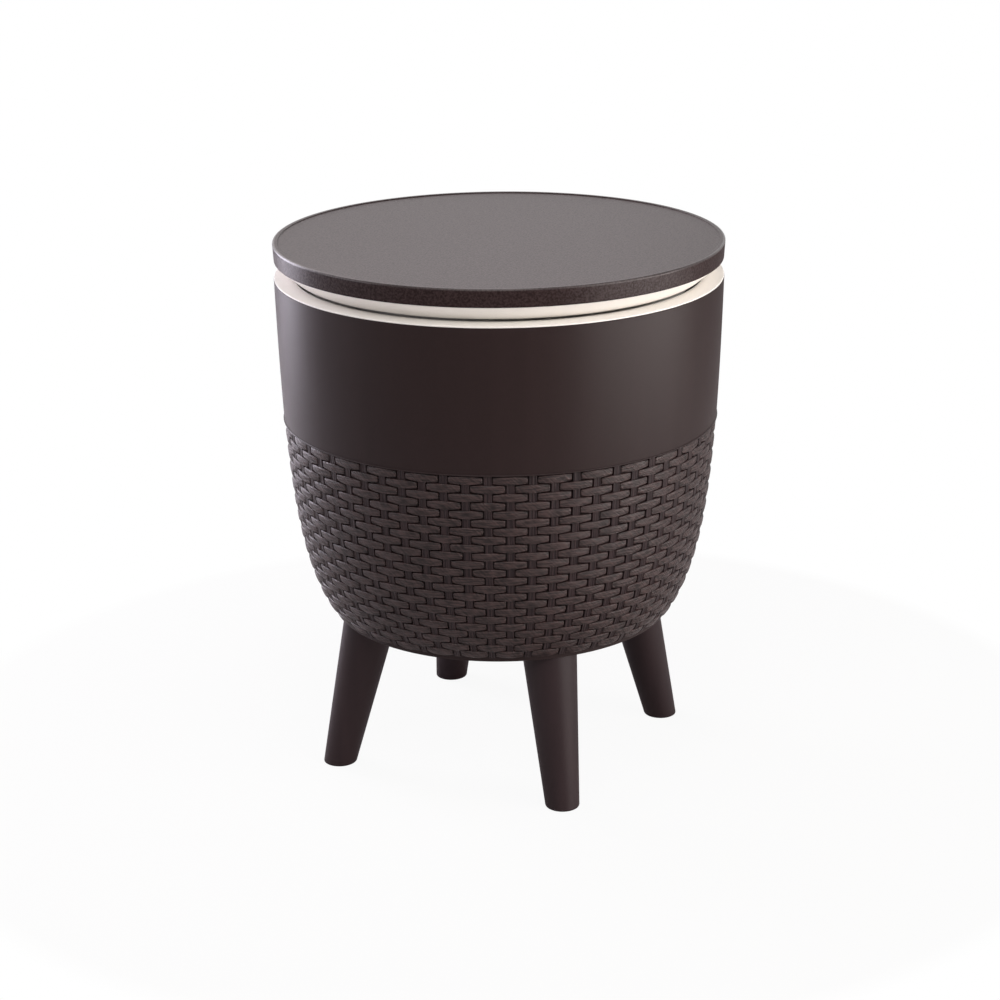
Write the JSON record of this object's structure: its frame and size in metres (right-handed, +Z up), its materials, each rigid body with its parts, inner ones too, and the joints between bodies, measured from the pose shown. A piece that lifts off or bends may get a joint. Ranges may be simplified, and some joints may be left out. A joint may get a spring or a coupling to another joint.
{
  "type": "ice bucket coffee table",
  "caption": "Round patio coffee table with an ice bucket under its lift-up tabletop, a bowl-shaped shell with a woven look and splayed legs.",
  "frame": {"origin": "on the floor, at the centre of the table, under the lifting pole", "axes": "+Z up along the lifting pole; the drain lies at +Y; the legs stand at 45 degrees between X and Y"},
  "size_m": [0.498, 0.498, 0.6],
  "materials": {
    "dark_plastic": "moulded, fine matt grain, dark brown",
    "pale_plastic": "moulded, smooth satin, cream",
    "pole_plastic": "extruded and moulded, satin, dark brown",
    "black_rubber": "moulded rubber, matt",
    "screw_steel": "zinc plated steel"
  },
  "bodies": {
    "base": {"outer_shell": "dark_plastic", "leg_1": "dark_plastic", "leg_2": "dark_plastic", "leg_3": "dark_plastic", "leg_4": "dark_plastic", "tube_socket": "dark_plastic", "ice_bucket": "pale_plastic", "seal_cap": "pale_plastic", "drain_tube": "pale_plastic", "drain_nut": "pale_plastic", "guide_tube": "pole_plastic", "guide_collar": "pole_plastic", "pole_seal": "black_rubber", "leg_screw_1": "screw_steel", "leg_screw_2": "screw_steel", "leg_screw_3": "screw_steel", "leg_screw_4": "screw_steel", "socket_screw_1": "screw_steel", "socket_screw_2": "screw_steel", "socket_screw_3": "screw_steel", "socket_screw_4": "screw_steel", "socket_pin": "screw_steel"},
    "slider": {"foot_bush": "pale_plastic"},
    "lid": {"tabletop": "dark_plastic", "lid_liner": "pale_plastic", "pole_head": "pale_plastic", "head_pin": "screw_steel", "lift_pole": "pole_plastic", "foot_plug": "pale_plastic", "head_screw_1": "screw_steel", "head_screw_2": "screw_steel", "head_screw_3": "screw_steel", "head_screw_4": "screw_steel", "liner_screw_1": "screw_steel", "liner_screw_2": "screw_steel", "liner_screw_3": "screw_steel", "liner_screw_4": "screw_steel"},
    "plug": {"drain_plug": "dark_plastic", "plug_seal": "black_rubber"}
  },
  "joints": [
    {"name": "table_lift", "type": "slide", "parent": "base", "child": "slider", "axis": [0, 0, 1], "range_m": [0, 0.26]},
    {"name": "table_turn", "type": "hinge", "parent": "slider", "child": "lid", "pos_m": [0, 0, 0.5], "axis": [0, 0, 1], "range_deg": [0, 90]},
    {"name": "drain_pull", "type": "slide", "parent": "base", "child": "plug", "axis": [0, 0, -1], "range_m": [0, 0.05]}
  ]
}
